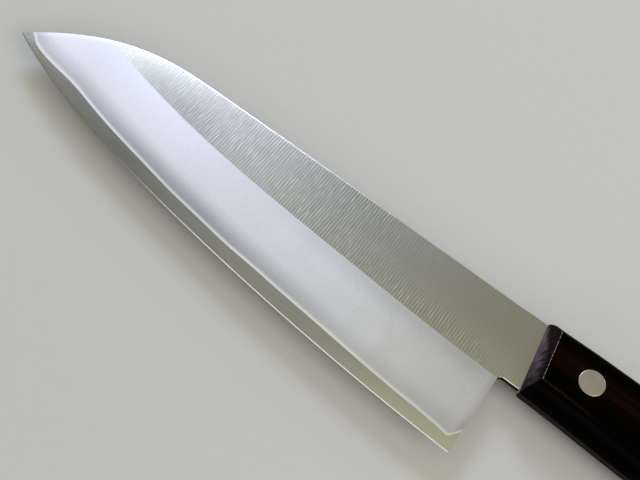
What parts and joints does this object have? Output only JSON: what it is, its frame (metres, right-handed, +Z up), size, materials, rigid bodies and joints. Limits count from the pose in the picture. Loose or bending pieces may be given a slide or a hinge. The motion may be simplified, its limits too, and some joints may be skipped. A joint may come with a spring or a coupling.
{
  "type": "santoku kitchen knife",
  "caption": "Santoku kitchen knife: broad three-layer steel blade with a full tang, riveted between two dark wooden handle scales.",
  "frame": {"origin": "middle of the outline of the knife as it lies on its right side, on the surface under it", "axes": "+X from the tip to the butt, +Y from the cutting edge to the back of the blade, +Z up out of the blade's left face"},
  "size_m": [0.2914, 0.047, 0.014],
  "materials": {
    "cladding_steel": "cross-brushed flat above a hazy satin bevel",
    "core_steel": "semi-polished, with a bright honed edge",
    "dark_wood": "glossy, near-black red-brown with lengthwise streaks",
    "rivet_steel": "ground flush, satin"
  },
  "bodies": {
    "root": {"core_steel": "core_steel", "left_cladding": "cladding_steel", "right_cladding": "cladding_steel", "left_scale": "dark_wood", "right_scale": "dark_wood", "front_rivet_tube": "rivet_steel", "front_rivet_pin": "rivet_steel", "middle_rivet_tube": "rivet_steel", "middle_rivet_pin": "rivet_steel", "rear_rivet_tube": "rivet_steel", "rear_rivet_pin": "rivet_steel"}
  },
  "joints": []
}
